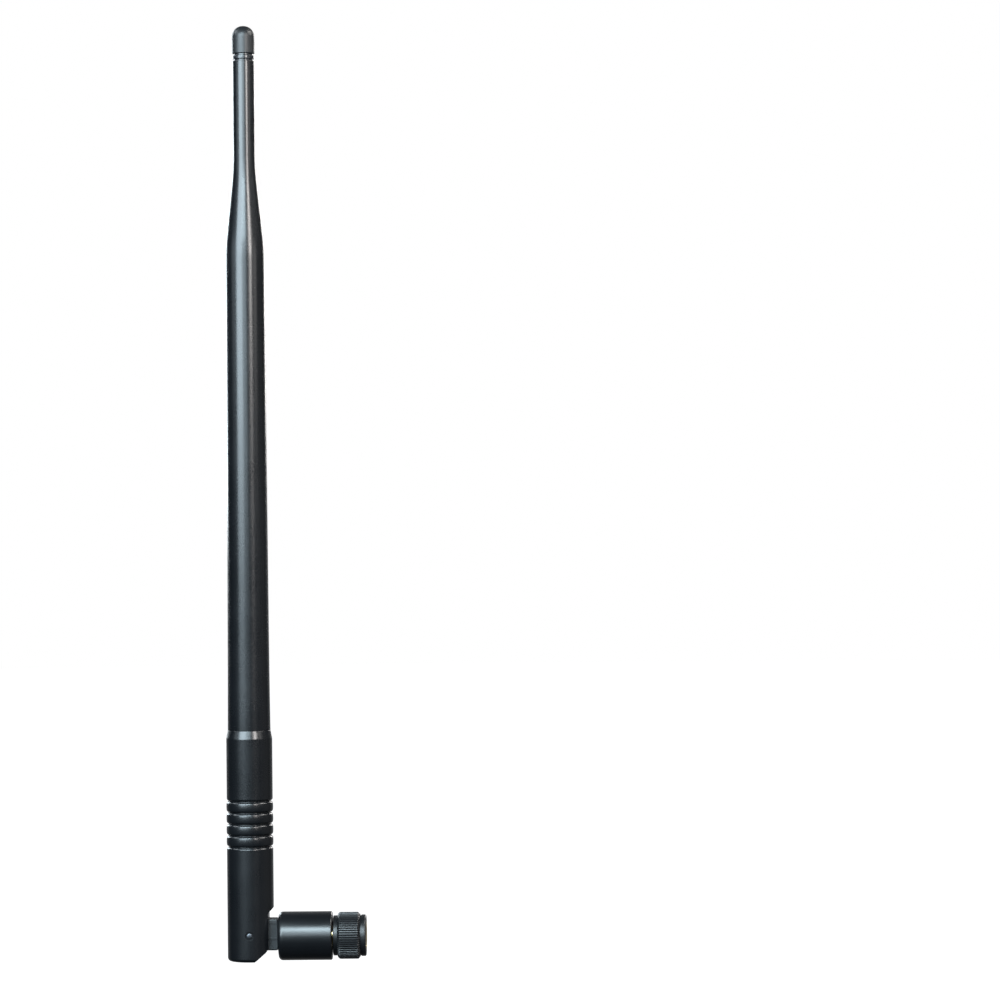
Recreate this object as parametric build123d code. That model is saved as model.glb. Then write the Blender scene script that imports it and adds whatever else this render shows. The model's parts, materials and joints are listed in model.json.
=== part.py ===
from build123d import *
import math
import os

# A hinged omnidirectional antenna with a coupling nut at the end of its swivel base.
# Millimetres. +Z runs up the mast, +X runs out of the coupling nut's mouth.
# The origin is on the connector's axis, in the plane of the nut's front face.
# Connector pieces are turned about the X axis, mast pieces about the mast's own axis.
# Heights named above_pin are counted up the mast from the axis of the tilt hinge.

os.makedirs("parts", exist_ok=True)

# Fits, as radial or end clearances
running_fit = 0.05
snug_fit = 0.02
slip_fit = 0.15

# Coupling thread, 1/4-36 UNS inside the nut
thread_pitch = 25.4 / 36
thread_minor_radius = 2.80
thread_major_radius = 3.175
thread_grooves = 4
thread_lead_in = 0.30
thread_flank_angle = 30

# Coupling nut and its plastic grip
nut_face_radius = 4.10
nut_face_length = 1.50
nut_across_flats = 8.00
nut_length = 8.00
nut_lip_length = 0.70
nut_edge = 0.25
collar_radius = 6.55
collar_face_radius = 5.80
collar_face_length = 1.35
collar_face_rounding = 0.45
collar_neck_radius = 5.60
collar_neck_width = 0.30
collar_grip_length = 6.35
collar_grip_chamfer = 0.55
collar_hub_radius = 5.60
collar_hub_length = 1.20
grip_ribs = 60
grip_groove_depth = 0.28
grip_groove_width = 0.40

# Connector body and what is inside it
ferrule_radius = 2.30
ferrule_recess = 0.10
ferrule_length = 2.20
body_shoulder_radius = 3.20
body_shoulder_length = 1.50
body_shank_radius = 2.45
body_flange_radius = 4.30
body_flange_length = 0.80
body_boss_radius = 3.70
body_boss_length = 3.50
body_boss_ribs = 16
body_boss_rib_height = 0.20
body_boss_rib_width = 0.50
body_tail_radius = 1.20
body_tail_length = 3.20
dielectric_radius = 2.05
dielectric_setback = 0.05
contact_radius = 0.635
contact_socket_radius = 0.47
contact_socket_depth = 2.60
gasket_outer_radius = 2.95
gasket_thickness = 0.60
snap_ring_setback = 0.60
snap_ring_thickness = 0.45
snap_ring_inner_radius = 2.85
snap_ring_outer_radius = 3.50
snap_ring_split = 1.20
snap_ring_room = 0.10
crimp_outer_radius = 1.50
crimp_length = 4.50
crimp_setback = 0.30

# Swivel housing
housing_gap = 0.30
housing_radius = 6.80
housing_length = 15.00
housing_flange_recess = 0.20
housing_rear_rounding = 1.20
housing_front_rounding = 0.40
housing_chamber_length = 7.50
stop_half_angle = 6.5
stop_thickness = 0.50
stop_height = 0.75

# Knuckle that turns in the housing and carries the mast
shaft_radius = 2.90
shaft_into_chamber = 1.20
shaft_mouth_radius = 1.80
shaft_mouth_length = 4.20
clip_thickness = 0.55
clip_depth = 0.40
clip_outer_radius = 3.65
clip_split = 1.60
oring_thickness = 1.00
oring_depth = 0.70
oring_from_shoulder = 3.00
knuckle_end_gap = 0.10
tongue_height = 8.85
tongue_thickness = 5.00
tongue_edge = 0.30

# Tilt hinge
pin_from_housing = 7.85
pin_above_axis = 0.60
pin_radius = 0.80
pin_inner_end = 1.20
pin_recess = 0.25
pin_counterbore_radius = 1.25
pin_counterbore_depth = 0.45
pin_edge = 0.15
washer_thickness = 0.30
washer_radius = 2.40
slot_clearance = 0.30

# Base of the mast
barrel_radius = 6.48
barrel_below_pin = 7.40
barrel_bottom_rounding = 1.00
relief_flat = 5.05
relief_top_above_pin = 6.10
relief_chamfer_height = 1.45
relief_corner_width = 3.70
relief_corner_height = 3.10
rib_crest_radius = 6.56
rib_edge_radius = 6.46
rib_groove_radius = 5.98
rib_groove_floor = 0.30
rib_groove_count = 5
rib_pitch = 3.19
rib_first_groove_above_pin = 24.60
rib_end_rounding = 0.55
sleeve_radius = 6.43
shoulder_above_pin = 54.80
shoulder_height = 2.30
shoulder_radius = 6.37
shoulder_top_radius = 5.98
spigot_radius = 5.10
spigot_length = 12.00
barrel_cavity_radius = 4.40
barrel_floor_above_pin = 10.00
cable_hole_radius = 1.10

# Radome
radome_low_radius = 5.84
radome_low_height = 14.00
radome_mid_radius = 5.67
radome_mid_height = 47.00
taper_bottom_radius = 5.50
taper_bottom_height = 135.20
taper_length = 21.80
taper_blend = 4.00
radome_top_radius = 3.10
radome_upper_length = 30.30
radome_wall = 1.20

# Tip
tip_seal_height = 2.00
tip_seal_radius = 2.80
tip_seal_band_radius = 3.00
tip_seal_band_height = 0.90
cap_radius = 3.15
cap_height = 7.80
cap_dome_radius = 3.00
cap_edge = 0.20
cap_plug_length = 4.00

# Coaxial lead
coax_radius = 0.90
coax_core_radius = 0.42
coax_bend_radius = 5.00
coax_bend_tail = 3.00
coax_bend_lead = 0.85

# Radiator
bush_height = 4.00
bush_radius = 4.20
choke_outer_radius = 3.00
choke_wall = 0.30
choke_length = 28.00
choke_bottom_above_pin = 40.00
choke_end_thickness = 0.60
choke_bead_height = 2.00
choke_bead_setback = 1.00
shrink_wall = 0.20
shrink_length = 7.00
shrink_from_feed = 1.00
feed_bead_radius = 2.00
feed_bead_height = 3.00
wire_radius = 0.50
quarter_wave = 29.00
half_wave = 58.00
coil_radius = 1.80
coil_wire_radius = 0.40
coil_length = 10.00
spacer_radius = 4.00
spacer_height = 5.00

# Places along the connector's axis, negative towards the mast
groove_half_width = (thread_major_radius - thread_minor_radius) * math.tan(
    math.radians(thread_flank_angle)
)
thread_land = thread_pitch - 2 * groove_half_width
thread_length = thread_grooves * thread_pitch + thread_land
thread_back = -(thread_lead_in + thread_length)
ferrule_face = thread_back - ferrule_recess
shoulder_front = ferrule_face - ferrule_length
shoulder_back = shoulder_front - body_shoulder_length
nut_recess_back = -(nut_length - nut_lip_length)
nut_recess_radius = body_shoulder_radius + running_fit
grip_front = -(collar_face_length + collar_neck_width)
grip_back = grip_front - collar_grip_length
collar_back = grip_back - collar_hub_length
housing_front = collar_back - housing_gap
housing_back = housing_front - housing_length
flange_front = housing_front - housing_flange_recess
flange_back = flange_front - body_flange_length
boss_back = flange_back - body_boss_length
tail_back = boss_back - body_tail_length
chamber_back = housing_front - housing_chamber_length
chamber_radius = body_boss_radius + body_boss_rib_height + running_fit
shaft_front = chamber_back + shaft_into_chamber
shaft_bore_radius = coax_radius + slip_fit
clip_front = chamber_back + snug_fit + clip_thickness
oring_front = chamber_back - oring_from_shoulder
knuckle_back = housing_back - knuckle_end_gap
snap_groove_front = shoulder_front - snap_ring_setback
snap_groove_width = snap_ring_thickness + snap_ring_room
snap_ring_front = snap_groove_front - snap_ring_room / 2
contact_back = boss_back + dielectric_setback + 1.00
tail_bore_front = contact_back - dielectric_setback

# Places on the mast
mast_x = housing_back - pin_from_housing
tongue_end_radius = tongue_height / 2
slot_half_width = tongue_thickness / 2 + running_fit + washer_thickness
slot_reach = tongue_end_radius + slot_clearance
channel_half_width = coax_radius + 0.10
bend_start_x = mast_x + coax_bend_radius
lead_end_x = bend_start_x + coax_bend_lead
bend_top_above_pin = coax_bend_radius - pin_above_axis
riser_bottom_above_pin = bend_top_above_pin + coax_bend_tail
shoulder_top = shoulder_above_pin + shoulder_height
taper_bottom = shoulder_top + taper_bottom_height
taper_top = taper_bottom + taper_length
radome_top = taper_top + radome_upper_length
seal_top = radome_top + tip_seal_height
cap_top = seal_top + cap_height
spigot_bottom = shoulder_top - spigot_length
upper_bore_radius = radome_top_radius - radome_wall
feed_above_pin = choke_bottom_above_pin + choke_length
choke_inner_radius = choke_outer_radius - choke_wall


def rod(radius, low, high):
    """A solid cylinder about Z from one height to another."""
    return Pos(0, 0, min(low, high)) * Cylinder(
        radius, abs(high - low), align=(Align.CENTER, Align.CENTER, Align.MIN)
    )


def tube(inner, outer, low, high):
    """A cylinder about Z with a through bore."""
    return rod(outer, low, high) - rod(inner, low, high)


def turned(outline):
    """A solid turned about Z from (radius, height) corners."""
    return revolve(Plane.XZ * make_face(Polyline(*outline, close=True)), Axis.Z)


def turned_curve(edges):
    """A solid turned about Z from a closed chain of edges in (radius, height)."""
    return revolve(Plane.XZ * make_face(Curve() + edges), Axis.Z)


def hexagon(across_flats, low, high):
    """A hexagonal bar about Z with a corner towards +X."""
    face = RegularPolygon(across_flats / 2, 6, major_radius=False)
    return Pos(0, 0, low) * extrude(face, high - low)


def rim(shape, radius, height):
    """The circular edge of a turned piece that lies nearest a radius and a height."""
    circles = shape.edges().filter_by(GeomType.CIRCLE)
    return min(
        circles, key=lambda edge: abs(edge.radius - radius) + abs(edge.center().Z - height)
    )


def wedge(half_angle, reach, low, high):
    """A wedge about Z, centred on +X and reaching past the outer radius."""
    half_width = reach * math.tan(math.radians(half_angle))
    face = make_face(
        Polyline((0, 0), (reach, -half_width), (reach, half_width), close=True)
    )
    return Pos(0, 0, low) * extrude(face, high - low)


def split_ring(inner, outer, low, high, split):
    """A spring ring about Z whose gap faces +Y."""
    gap = Pos(0, outer, (low + high) / 2) * Box(split, 2 * outer, 2 * (high - low))
    return tube(inner, outer, low, high) - gap


def on_connector(shape):
    """Lay a piece turned about Z along the connector's axis, so that Z becomes X."""
    return Rot(0, 90, 0) * shape


def on_mast(shape):
    """Stand a piece on the mast, with its Z counted from the tilt hinge."""
    return Pos(mast_x, 0, pin_above_axis) * shape


def save(name, shape):
    shape.label = name
    export_step(shape, f"parts/{name}.step")


# The coupling nut and its grip


def thread_bore():
    """The nut's inside: lead-in, thread grooves, snap ring groove, recess and rear lip."""
    over = 1.0
    outline = [
        (0, over),
        (thread_minor_radius + thread_lead_in + over, over),
        (thread_minor_radius, -thread_lead_in),
    ]
    for turn in range(thread_grooves):
        middle = -thread_lead_in - thread_land - groove_half_width - turn * thread_pitch
        outline += [
            (thread_minor_radius, middle + groove_half_width),
            (thread_major_radius, middle),
            (thread_minor_radius, middle - groove_half_width),
        ]
    ring_room_radius = snap_ring_outer_radius + snap_ring_room
    lip_radius = body_shank_radius + running_fit
    outline += [
        (thread_minor_radius, thread_back),
        (nut_recess_radius, thread_back),
        (nut_recess_radius, snap_groove_front),
        (ring_room_radius, snap_groove_front),
        (ring_room_radius, snap_groove_front - snap_groove_width),
        (nut_recess_radius, snap_groove_front - snap_groove_width),
        (nut_recess_radius, nut_recess_back),
        (lip_radius, nut_recess_back),
        (lip_radius, -nut_length - over),
        (0, -nut_length - over),
    ]
    return turned(outline)


def coupling_nut():
    hexagon_bar = hexagon(nut_across_flats, -nut_length, -nut_face_length)
    corner_radius = nut_across_flats / math.sqrt(3)
    corner_turning = turned(
        [
            (0, 0),
            (corner_radius, 0),
            (corner_radius, -nut_length + 2 * nut_edge),
            (corner_radius - 2 * nut_edge, -nut_length),
            (0, -nut_length),
        ]
    )
    face = turned(
        [
            (0, -nut_face_length),
            (nut_face_radius, -nut_face_length),
            (nut_face_radius, -nut_edge),
            (nut_face_radius - nut_edge, 0),
            (0, 0),
        ]
    )
    return face + (hexagon_bar & corner_turning) - thread_bore()


def nut_collar():
    face_corner = collar_face_radius - collar_face_rounding
    outline = [
        Line((0, 0), (face_corner, 0)),
        RadiusArc(
            (face_corner, 0),
            (collar_face_radius, -collar_face_rounding),
            collar_face_rounding,
        ),
        Polyline(
            (collar_face_radius, -collar_face_rounding),
            (collar_face_radius, -collar_face_length),
            (collar_neck_radius, -collar_face_length),
            (collar_neck_radius, grip_front),
            (collar_radius - grip_groove_depth, grip_front),
            (collar_radius, grip_front - grip_groove_depth),
            (collar_radius, grip_back + collar_grip_chamfer),
            (collar_radius - collar_grip_chamfer, grip_back),
            (collar_hub_radius, grip_back),
            (collar_hub_radius, collar_back),
            (0, collar_back),
            (0, 0),
        ),
    ]
    blank = turned_curve(outline)
    groove_face = make_face(
        Polyline(
            (-grip_groove_depth, 0),
            (grip_groove_depth, -grip_groove_width),
            (grip_groove_depth, grip_groove_width),
            close=True,
        )
    )
    groove = Pos(0, 0, collar_back) * extrude(groove_face, grip_front - collar_back)
    grooves = [place * groove for place in PolarLocations(collar_radius, grip_ribs)]
    face_hole = rod(nut_face_radius + snug_fit, -2 * nut_face_length, 1)
    pocket = hexagon(
        nut_across_flats + 2 * snug_fit, collar_back - 1, snug_fit - nut_face_length
    )
    return blank - grooves - face_hole - pocket


# The connector


def connector_body():
    outline = [
        (0, ferrule_face),
        (ferrule_radius, ferrule_face),
        (ferrule_radius, shoulder_front),
        (body_shoulder_radius, shoulder_front),
        (body_shoulder_radius, snap_groove_front),
        (snap_ring_inner_radius - snap_ring_room, snap_groove_front),
        (snap_ring_inner_radius - snap_ring_room, snap_groove_front - snap_groove_width),
        (body_shoulder_radius, snap_groove_front - snap_groove_width),
        (body_shoulder_radius, shoulder_back),
        (body_shank_radius, shoulder_back),
        (body_shank_radius, flange_front),
        (body_flange_radius, flange_front),
        (body_flange_radius, flange_back),
        (body_boss_radius, flange_back),
        (body_boss_radius, boss_back),
        (body_tail_radius, boss_back),
        (body_tail_radius, tail_back),
        (0, tail_back),
    ]
    rib_depth = 2 * body_boss_rib_height
    rib = Pos(0, 0, (flange_back + boss_back) / 2) * Box(
        rib_depth, body_boss_rib_width, body_boss_length
    )
    ribs = [place * rib for place in PolarLocations(body_boss_radius, body_boss_ribs)]
    bore = rod(dielectric_radius + snug_fit, tail_bore_front, ferrule_face)
    tail_bore = rod(coax_core_radius + snug_fit, tail_back, tail_bore_front)
    return turned(outline) + ribs - bore - tail_bore


def dielectric():
    return tube(
        contact_radius + snug_fit,
        dielectric_radius,
        contact_back,
        ferrule_face - dielectric_setback,
    )


def centre_contact():
    front = ferrule_face - dielectric_setback
    socket = rod(contact_socket_radius, front - contact_socket_depth, front)
    return rod(contact_radius, contact_back, front) - socket


def interface_gasket():
    return tube(
        ferrule_radius + snug_fit,
        gasket_outer_radius,
        shoulder_front,
        shoulder_front + gasket_thickness,
    )


def nut_snap_ring():
    return split_ring(
        snap_ring_inner_radius,
        snap_ring_outer_radius,
        snap_ring_front - snap_ring_thickness,
        snap_ring_front,
        snap_ring_split,
    )


def crimp_ferrule():
    front = boss_back - crimp_setback
    return tube(
        body_tail_radius + snug_fit, crimp_outer_radius, front - crimp_length, front
    )


def coax_lead():
    core = rod(coax_core_radius, tail_back, tail_bore_front - snug_fit)
    return core + rod(coax_radius, lead_end_x, tail_back)


# The swivel base


def swivel_housing():
    blank = rod(housing_radius, housing_back, housing_front)
    blank = fillet(rim(blank, housing_radius, housing_back), housing_rear_rounding)
    blank = fillet(rim(blank, housing_radius, housing_front), housing_front_rounding)
    flange_seat = rod(body_flange_radius + snug_fit, flange_back, housing_front)
    chamber = rod(chamber_radius, chamber_back, flange_back)
    bearing = rod(shaft_radius + running_fit, housing_back, chamber_back)
    stop_front = shaft_front
    stop_back = stop_front - stop_thickness
    stop = tube(chamber_radius - stop_height, chamber_radius + snug_fit, stop_back, stop_front)
    stop = stop & wedge(stop_half_angle, housing_radius, stop_back, stop_front)
    return blank - flange_seat - chamber - bearing + stop


def knuckle():
    shaft = turned(
        [
            (0, shaft_front),
            (shaft_radius, shaft_front),
            (shaft_radius, clip_front),
            (shaft_radius - clip_depth, clip_front),
            (shaft_radius - clip_depth, clip_front - clip_thickness - snug_fit),
            (shaft_radius, clip_front - clip_thickness - snug_fit),
            (shaft_radius, oring_front),
            (shaft_radius - oring_depth, oring_front),
            (shaft_radius - oring_depth, oring_front - oring_thickness),
            (shaft_radius, oring_front - oring_thickness),
            (shaft_radius, knuckle_back),
            (0, knuckle_back),
        ]
    )
    stop_back = shaft_front - stop_thickness
    lug = rod(chamber_radius - slip_fit, stop_back, shaft_front)
    lug = lug & Rot(0, 0, 180) * wedge(stop_half_angle, housing_radius, stop_back, shaft_front)
    mouth = rod(shaft_mouth_radius, shaft_front - shaft_mouth_length, shaft_front)
    bore = rod(shaft_bore_radius, lead_end_x, shaft_front)
    stem = on_connector(shaft + lug)

    plate_length = knuckle_back - mast_x
    plate = Pos(mast_x + plate_length / 2, 0, pin_above_axis) * Box(
        plate_length, tongue_thickness, tongue_height
    )
    end = Pos(mast_x, 0, pin_above_axis) * Rot(90, 0, 0) * Cylinder(
        tongue_end_radius, tongue_thickness
    )
    tongue = plate + end
    side_edges = tongue.faces().filter_by(Axis.Y).edges()
    free_edges = side_edges.filter_by(lambda edge: edge.center().X < knuckle_back - tongue_edge)
    tongue = chamfer(free_edges, tongue_edge)

    channel_floor = -shaft_bore_radius
    channel_top = pin_above_axis + tongue_height
    channel = Box(
        lead_end_x - mast_x + tongue_height,
        2 * channel_half_width,
        channel_top - channel_floor,
    )
    channel = Pos(
        (lead_end_x + mast_x - tongue_height) / 2, 0, (channel_top + channel_floor) / 2
    ) * channel
    pin_hole = Pos(mast_x, 0, pin_above_axis) * Rot(90, 0, 0) * Cylinder(
        pin_radius + running_fit, 2 * tongue_thickness
    )
    return stem + tongue - on_connector(mouth + bore) - channel - pin_hole


def knuckle_clip():
    return split_ring(
        shaft_radius - clip_depth + snug_fit,
        clip_outer_radius,
        clip_front - clip_thickness,
        clip_front,
        clip_split,
    )


def swivel_o_ring():
    """A flat-sided rubber friction ring that fills its groove in the shaft."""
    return tube(
        shaft_radius - oring_depth + snug_fit,
        shaft_radius + running_fit / 2,
        oring_front - oring_thickness + snug_fit,
        oring_front - snug_fit,
    )


def coax_bend():
    """The stretch of the lead that flexes as the mast tilts."""
    lead_end = (lead_end_x, 0, 0)
    turn_start = (bend_start_x, 0, 0)
    turn_end = (mast_x, 0, coax_bend_radius)
    offset = coax_bend_radius * math.sin(math.radians(45))
    turn_middle = (bend_start_x - offset, 0, coax_bend_radius - offset)
    riser_bottom = (mast_x, 0, pin_above_axis + riser_bottom_above_pin)
    route = Curve() + [
        Line(lead_end, turn_start),
        ThreePointArc(turn_start, turn_middle, turn_end),
        Line(turn_end, riser_bottom),
    ]
    section = Plane(origin=lead_end, z_dir=(-1, 0, 0)) * Circle(coax_radius)
    return sweep(section, path=route)


# The base of the mast


def barrel_outline():
    """The turned outside of the barrel: foot, rounded ribs, smooth sleeve and sloped shoulder."""
    foot = -barrel_below_pin
    foot_corner = barrel_radius - barrel_bottom_rounding
    half_floor = rib_groove_floor / 2
    first = rib_first_groove_above_pin
    last = first + (rib_groove_count - 1) * rib_pitch
    lower_end = (barrel_radius, first - half_floor - rib_end_rounding)
    lower_floor = (rib_groove_radius, first - half_floor)
    upper_floor = (rib_groove_radius, last + half_floor)
    upper_end = (sleeve_radius, last + half_floor + rib_end_rounding)
    edges = [
        Line((0, foot), (foot_corner, foot)),
        RadiusArc(
            (foot_corner, foot),
            (barrel_radius, foot + barrel_bottom_rounding),
            -barrel_bottom_rounding,
        ),
        Line((barrel_radius, foot + barrel_bottom_rounding), lower_end),
        RadiusArc(lower_end, lower_floor, -1.1 * rib_end_rounding),
        Line(lower_floor, (rib_groove_radius, first + half_floor)),
    ]
    for rib in range(rib_groove_count - 1):
        below = first + rib * rib_pitch + half_floor
        above = first + (rib + 1) * rib_pitch - half_floor
        low_edge = (rib_edge_radius, below + rib_end_rounding)
        high_edge = (rib_edge_radius, above - rib_end_rounding)
        crest = (rib_crest_radius, (below + above) / 2)
        edges += [
            RadiusArc((rib_groove_radius, below), low_edge, -1.1 * rib_end_rounding),
            ThreePointArc(low_edge, crest, high_edge),
            RadiusArc(high_edge, (rib_groove_radius, above), -1.1 * rib_end_rounding),
            Line((rib_groove_radius, above), (rib_groove_radius, above + 2 * half_floor)),
        ]
    edges += [
        RadiusArc(upper_floor, upper_end, -1.1 * rib_end_rounding),
        Polyline(
            upper_end,
            (sleeve_radius, shoulder_above_pin),
            (shoulder_radius, shoulder_above_pin),
            (shoulder_top_radius, shoulder_top),
            (0, shoulder_top),
            (0, foot),
        ),
    ]
    return edges


def hinge_slot():
    """The slot that lets the tongue swing from pointing along +X to pointing down."""
    past = 2 * barrel_radius
    sweep_area = Rectangle(past, past, align=(Align.MIN, Align.MAX))
    rest_area = Rectangle(past, slot_reach, align=(Align.MIN, Align.MIN))
    straight_area = Rectangle(slot_reach, past, align=(Align.MAX, Align.MAX))
    face = sweep_area + rest_area + straight_area + Circle(slot_reach)
    return extrude(Plane.XZ * face, slot_half_width, both=True)


def relief_cut():
    """What is cut from the side and corner of the barrel that face the swivel housing."""
    past = 2 * barrel_radius
    chamfer_slope = relief_chamfer_height / (barrel_radius - relief_flat)
    chamfer_end = relief_top_above_pin + chamfer_slope * (past - relief_flat)
    corner_bottom = -barrel_below_pin - 1
    corner_top = relief_corner_height - barrel_below_pin
    corner_slope = relief_corner_width / relief_corner_height
    face = make_face(
        Polyline(
            (relief_flat, relief_top_above_pin),
            (past, chamfer_end),
            (past, corner_bottom),
            (relief_flat - corner_slope * (corner_top - corner_bottom), corner_bottom),
            (relief_flat, corner_top),
            close=True,
        )
    )
    return extrude(Plane.XZ * face, past, both=True)


def base_barrel():
    blank = turned_curve(barrel_outline())
    socket = rod(spigot_radius + snug_fit, spigot_bottom - snug_fit, shoulder_top)
    cavity = rod(barrel_cavity_radius, barrel_floor_above_pin, spigot_bottom)
    cable_hole = rod(cable_hole_radius, 0, barrel_floor_above_pin)
    pin_holes = Rot(90, 0, 0) * Cylinder(pin_radius + snug_fit, 4 * barrel_radius)
    counterbores = [
        Rot(90, 0, 0)
        * rod(
            pin_counterbore_radius,
            side * (barrel_radius - pin_counterbore_depth),
            side * 2 * barrel_radius,
        )
        for side in (-1, 1)
    ]
    solid = blank - socket - cavity - cable_hole - hinge_slot() - relief_cut()
    return solid - pin_holes - counterbores


def hinge_pins():
    """Two stub pins, one through each ear, so that the lead can pass between them."""
    outer_end = barrel_radius - pin_recess
    pin = turned(
        [
            (0, pin_inner_end),
            (pin_radius, pin_inner_end),
            (pin_radius, outer_end - pin_edge),
            (pin_radius - pin_edge, outer_end),
            (0, outer_end),
        ]
    )
    return Compound([Rot(90, 0, 0) * pin, Rot(-90, 0, 0) * pin])


def hinge_washers():
    washer = tube(
        pin_radius + running_fit, washer_radius, slot_half_width - washer_thickness, slot_half_width
    )
    return Compound([Rot(90, 0, 0) * washer, Rot(-90, 0, 0) * washer])


def cable_bush():
    return tube(
        coax_radius + snug_fit,
        bush_radius,
        barrel_floor_above_pin,
        barrel_floor_above_pin + bush_height,
    )


# The radome and tip


def radome():
    outside = [
        (spigot_radius, spigot_bottom),
        (spigot_radius, shoulder_top),
        (shoulder_top_radius, shoulder_top),
        (radome_low_radius, shoulder_top + radome_low_height),
        (radome_mid_radius, shoulder_top + radome_mid_height),
        (taper_bottom_radius, taper_bottom),
        (radome_top_radius, taper_top),
        (radome_top_radius, radome_top),
    ]
    inside = [
        (upper_bore_radius, radome_top),
        (upper_bore_radius, taper_top),
        (taper_bottom_radius - radome_wall, taper_bottom),
        (spigot_radius - radome_wall / 2, shoulder_top),
        (spigot_radius - radome_wall / 2, spigot_bottom),
    ]
    shell = turned(outside + inside)
    taper_ends = [
        rim(shell, taper_bottom_radius, taper_bottom),
        rim(shell, radome_top_radius, taper_top),
    ]
    return fillet(taper_ends, taper_blend)


def tip_seal():
    middle = radome_top + tip_seal_height / 2
    half_band = tip_seal_band_height / 2
    hole = upper_bore_radius
    return turned(
        [
            (hole, radome_top),
            (tip_seal_radius, radome_top),
            (tip_seal_radius, middle - half_band),
            (tip_seal_band_radius, middle - half_band),
            (tip_seal_band_radius, middle + half_band),
            (tip_seal_radius, middle + half_band),
            (tip_seal_radius, seal_top),
            (hole, seal_top),
        ]
    )


def tip_cap():
    plug_radius = upper_bore_radius - snug_fit
    dome_start = cap_top - cap_dome_radius
    dome_flat = cap_radius - cap_dome_radius
    edges = [
        Polyline(
            (0, cap_top),
            (0, radome_top - cap_plug_length),
            (plug_radius, radome_top - cap_plug_length),
            (plug_radius, seal_top),
            (cap_radius - cap_edge, seal_top),
            (cap_radius, seal_top + cap_edge),
            (cap_radius, dome_start),
        ),
        RadiusArc((cap_radius, dome_start), (dome_flat, cap_top), -cap_dome_radius),
        Line((dome_flat, cap_top), (0, cap_top)),
    ]
    return turned_curve(edges)


# The radiator inside the mast


def coax_riser():
    return rod(coax_radius, riser_bottom_above_pin, feed_above_pin - choke_end_thickness)


def choke_sleeve():
    """A quarter-wave brass sleeve, closed at its top where the lead's braid is soldered."""
    wall = tube(choke_inner_radius, choke_outer_radius, choke_bottom_above_pin, feed_above_pin)
    end = rod(choke_outer_radius, feed_above_pin - choke_end_thickness, feed_above_pin)
    return wall + end - rod(wire_radius + slip_fit, feed_above_pin - 1, feed_above_pin + 1)


def choke_bead():
    low = choke_bottom_above_pin + choke_bead_setback
    return tube(
        coax_radius + snug_fit, choke_inner_radius - snug_fit, low, low + choke_bead_height
    )


def feed_shrink():
    high = feed_above_pin - choke_end_thickness - shrink_from_feed
    low = high - shrink_length
    return tube(coax_radius + snug_fit, coax_radius + snug_fit + shrink_wall, low, high)


def feed_bead():
    return tube(
        wire_radius + snug_fit, feed_bead_radius, feed_above_pin, feed_above_pin + feed_bead_height
    )


lower_wire_top = feed_above_pin + quarter_wave
lower_coil_top = lower_wire_top + coil_length
middle_wire_top = lower_coil_top + half_wave
upper_coil_top = middle_wire_top + coil_length
upper_wire_top = upper_coil_top + half_wave


def lower_radiator():
    return rod(wire_radius, feed_above_pin - choke_end_thickness, lower_wire_top)


def middle_radiator():
    return rod(wire_radius, lower_coil_top, middle_wire_top)


def upper_radiator():
    return rod(wire_radius, upper_coil_top, upper_wire_top)


def phasing_coil(low):
    """The space that a close-wound coil fills, with the ends that join it to the wires."""
    inner = coil_radius - 2 * coil_wire_radius
    end_height = 2 * coil_wire_radius
    wall = tube(inner, coil_radius, low, low + coil_length)
    ends = rod(coil_radius, low, low + end_height)
    ends += rod(coil_radius, low + coil_length - end_height, low + coil_length)
    return wall + ends


def foam_spacers():
    bottoms = [
        feed_above_pin + feed_bead_height + spacer_height,
        (lower_coil_top + middle_wire_top) / 2,
        taper_bottom - 2 * spacer_height,
    ]
    return Compound(
        [
            tube(wire_radius + snug_fit, spacer_radius, low, low + spacer_height)
            for low in bottoms
        ]
    )


connector_pieces = {
    "coupling_nut": coupling_nut,
    "nut_collar": nut_collar,
    "connector_body": connector_body,
    "dielectric": dielectric,
    "centre_contact": centre_contact,
    "interface_gasket": interface_gasket,
    "nut_snap_ring": nut_snap_ring,
    "crimp_ferrule": crimp_ferrule,
    "coax_lead": coax_lead,
    "swivel_housing": swivel_housing,
    "knuckle_clip": knuckle_clip,
    "swivel_o_ring": swivel_o_ring,
}
placed_pieces = {
    "knuckle": knuckle,
    "coax_bend": coax_bend,
}
mast_pieces = {
    "base_barrel": base_barrel,
    "hinge_pins": hinge_pins,
    "hinge_washers": hinge_washers,
    "cable_bush": cable_bush,
    "radome": radome,
    "tip_seal": tip_seal,
    "tip_cap": tip_cap,
    "coax_riser": coax_riser,
    "choke_sleeve": choke_sleeve,
    "choke_bead": choke_bead,
    "feed_shrink": feed_shrink,
    "feed_bead": feed_bead,
    "lower_radiator": lower_radiator,
    "middle_radiator": middle_radiator,
    "upper_radiator": upper_radiator,
    "lower_phasing_coil": lambda: phasing_coil(lower_wire_top),
    "upper_phasing_coil": lambda: phasing_coil(middle_wire_top),
    "foam_spacers": foam_spacers,
}

for name, make in connector_pieces.items():
    save(name, on_connector(make()))
for name, make in placed_pieces.items():
    save(name, make())
for name, make in mast_pieces.items():
    save(name, on_mast(make()))
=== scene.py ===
import bpy
import bmesh
import math
from mathutils import Matrix, Vector
import json


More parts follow.
